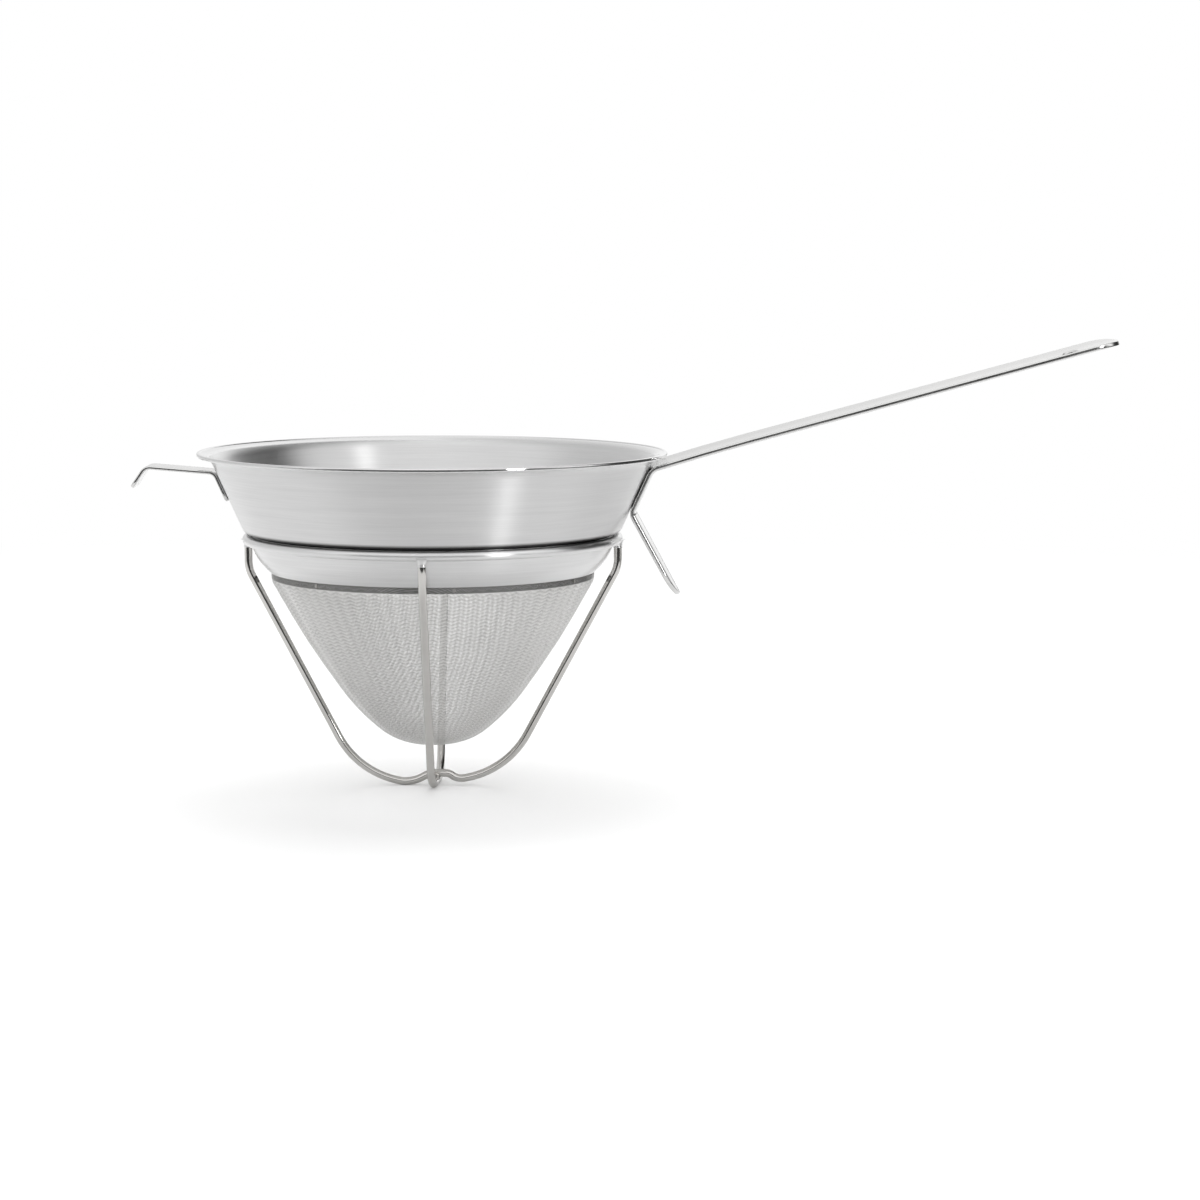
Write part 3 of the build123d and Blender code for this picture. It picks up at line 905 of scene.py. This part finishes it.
def makeHandle():
    rim = beadPlace + bowl["bead"]
    rootHeight = rimHeight - handle["rootDrop"]
    root = (padPlace(rootHeight), rootHeight)
    waist = along(root, handle["rootSlope"], handle["rootRun"])
    run = (rim + handle["overhang"] - waist[0]) / math.cos(math.radians(handle["slope"]))
    tip = along(waist, handle["slope"], run)
    turnHeight = rootHeight - handle["padDrop"]
    legTurn = (padPlace(turnHeight), turnHeight)
    line = [tip, waist, root, legTurn, along(legTurn, handle["legAngle"] - 90, handle["legLength"])]
    sweep = bendsFromShares(line[:3], [handle["sweepShare"]])
    piece = bendStrip("stripHandle", handle, line, sweep + [handle["rootBend"], handle["legBend"]])
    slope = math.radians(handle["slope"])
    turned = Matrix.Rotation(math.radians(handle["roll"]), 4, Vector((math.cos(slope), 0, math.sin(slope))))
    centre = Matrix.Translation(Vector((root[0], 0, root[1])) * mm)
    piece.matrix_world = centre @ turned @ centre.inverted()
    settle(piece, handleSteel, "brushed_strip", "handle", smooth=40)


def makeHook():
    rim = beadPlace + bowl["bead"]
    rootHeight = rimHeight - hook["rootDrop"]
    padHeight = rootHeight - hook["padDrop"]
    root = (wallRadius(rootHeight) + collar["air"], rootHeight)
    run = (rim + hook["overhang"] - root[0]) / math.cos(math.radians(hook["armRise"]))
    elbow = along(root, hook["armRise"], run)
    tip = along(elbow, hook["tipAngle"] - 90, hook["tipLength"])
    line = [tip, elbow, root, (wallRadius(padHeight) + collar["air"], padHeight)]
    piece = bendStrip("stripHook", hook, line, [hook["bend"], hook["bend"]])
    piece.rotation_euler = (0, 0, math.pi)
    settle(piece, hookSteel, "brushed_strip", "front_hook", smooth=40)


makeHandle()
makeHook()

# What stays as it was made, with its finish
for name, finish in (("bead_ring_wire", guardSteel), ("clamp_ring", clampSteel), ("guard_end_welds", weldMetal),
                     ("crossing_weld", weldMetal), ("mesh_spot_welds", weldMetal), ("handle_spot_welds", weldMetal),
                     ("hook_spot_welds", weldMetal)):
    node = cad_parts[name]
    node.data.materials.clear()
    node.data.materials.append(finish)

# Studio, in metres: a pale round floor that fades to white, two lamps, and a room that only the steel mirrors
studio = {
    "floorRadius": 6.0,
    "floorSides": 96,
    "floorColour": (0.8, 0.8, 0.8, 1),
    "floorGlow": 0.2,
    "fadeFrom": 0.5,
    "fadeTo": 1.1,
    "paleFloor": (0.76, 0.76, 0.76, 1),
    "darkFloor": (0.05, 0.05, 0.05, 1),
    "darkFloorFront": -0.4,
    "darkFloorRight": 0.5,
    "darkFloorSoft": 0.15,
    "skyLight": 1.1,
    "shadowSoft": 0.15,
    "leastReach": 0.0001,
    "aim": (0.05, 0, 0.1),
}
white = (1, 1, 1, 1)
# sides on which the room is dark: which way, how wide, how high up and how much darker
shadows = [
    {"way": (0.866, 0.5), "from": 0.8, "to": 0.97, "top": 0.95, "depth": 0.97},
    {"way": (0.1, -0.995), "from": 0.4, "to": 0.75, "top": 0.14, "depth": 0.95},
    {"way": (-0.82, 0.57), "from": 0.3, "to": 0.95, "top": 0.9, "depth": 0.35},
]
# topLamp lights what is matt, tallLamp is only mirrored
lamps = [
    {"name": "topLamp", "place": (0.25, 0.75, 1.9), "size": (2.0, 1.6), "level": 2.6, "mirrored": False},
    {"name": "tallLamp", "place": (1.42, -1.57, 0.32), "size": (0.3, 0.6), "level": 11.0, "mirrored": True},
]


def makeFloor():
    bpy.ops.mesh.primitive_circle_add(vertices=studio["floorSides"], radius=studio["floorRadius"], fill_type="NGON")
    floor = bpy.context.object
    floor.name = "floor"
    finish = Finish(bpy.data.materials.new("floorPaint"))
    x, y = finish.split(finish.add("ShaderNodeTexCoord", None, None, 3))[:2]
    isCamera = finish.add("ShaderNodeLightPath")
    # what the camera sees: lit paint that fades to white
    paint = finish.add("ShaderNodeBsdfDiffuse", None, {"Color": studio["floorColour"]})
    glow = finish.add("ShaderNodeEmission", None, {"Strength": studio["floorGlow"]})
    lit = finish.add("ShaderNodeAddShader", None, {0: paint, 1: glow})
    bright = finish.add("ShaderNodeEmission", None, {"Strength": 1.0})
    fade = finish.ramp(finish.math("SQRT", x * x + y * y), studio["fadeFrom"], studio["fadeTo"])
    seen = finish.mixShader(fade, lit, bright)
    # what the steel mirrors: a pale sheet that ends some way in front of the object and to its right
    pale = finish.add("ShaderNodeBsdfDiffuse", None, {"Color": studio["paleFloor"]})
    dark = finish.add("ShaderNodeBsdfDiffuse", None, {"Color": studio["darkFloor"]})
    past = finish.math("MAXIMUM", studio["darkFloorFront"] - y, x - studio["darkFloorRight"])
    mirrored = finish.mixShader(finish.ramp(past, 0.0, studio["darkFloorSoft"]), pale, dark)
    floor.data.materials.append(finish.done(finish.mixShader(isCamera, mirrored, seen)))


def makeSky():
    world = bpy.data.worlds.new("studioSky")
    bpy.context.scene.world = world
    finish = Finish(world)
    isCamera = finish.add("ShaderNodeLightPath")
    east, north, high = finish.split(finish.add("ShaderNodeTexCoord", None, None, 0))
    reach = finish.math("SQRT", east * east + north * north) + studio["leastReach"]
    share = 1
    for values in shadows:
        facing = (east * values["way"][0] + north * values["way"][1]) / reach
        edge = finish.ramp(facing, values["from"], values["to"])
        low = finish.ramp(high, values["top"] + studio["shadowSoft"], values["top"])
        share = (1 - edge * low * values["depth"]) * share
    none, full, seen = [finish.add("ShaderNodeBackground", None, {"Color": white, "Strength": strength})
                        for strength in (0.0, studio["skyLight"], 1.0)]
    room = finish.mixShader(share, none, full)
    finish.done(finish.mixShader(isCamera, room, seen), "ShaderNodeOutputWorld")


def makeLamps():
    for values in lamps:
        lamp = bpy.data.lights.new(values["name"], "AREA")
        lamp.shape = "RECTANGLE"
        lamp.size, lamp.size_y = values["size"]
        lamp.energy = values["level"] * math.pi * lamp.size * lamp.size_y
        holder = bpy.data.objects.new(values["name"], lamp)
        holder.location = values["place"]
        aim = Vector(studio["aim"]) - holder.location
        holder.rotation_euler = aim.to_track_quat("-Z", "Y").to_euler()
        holder.visible_glossy = values["mirrored"]
        holder.visible_diffuse = not values["mirrored"]
        bpy.context.collection.objects.link(holder)


makeFloor()
makeSky()
makeLamps()
print("studio made")

# Camera, placed as in the photograph
view = {"place": (72.36, -1404.9, 247.7), "tilt": 6.74, "roll": -0.06, "lens": 97.47, "sensor": 36, "reach": 30000}
lens = bpy.data.cameras.new("camera")
lens.lens = view["lens"]
lens.sensor_width = view["sensor"]
lens.clip_end = view["reach"] * mm
camera = bpy.data.objects.new("camera", lens)
camera.location = Vector(view["place"]) * mm
camera.rotation_euler = (math.radians(90 - view["tilt"]), math.radians(view["roll"]), 0)
bpy.context.collection.objects.link(camera)
bpy.context.scene.camera = camera
bpy.context.scene.view_settings.view_transform = "Standard"
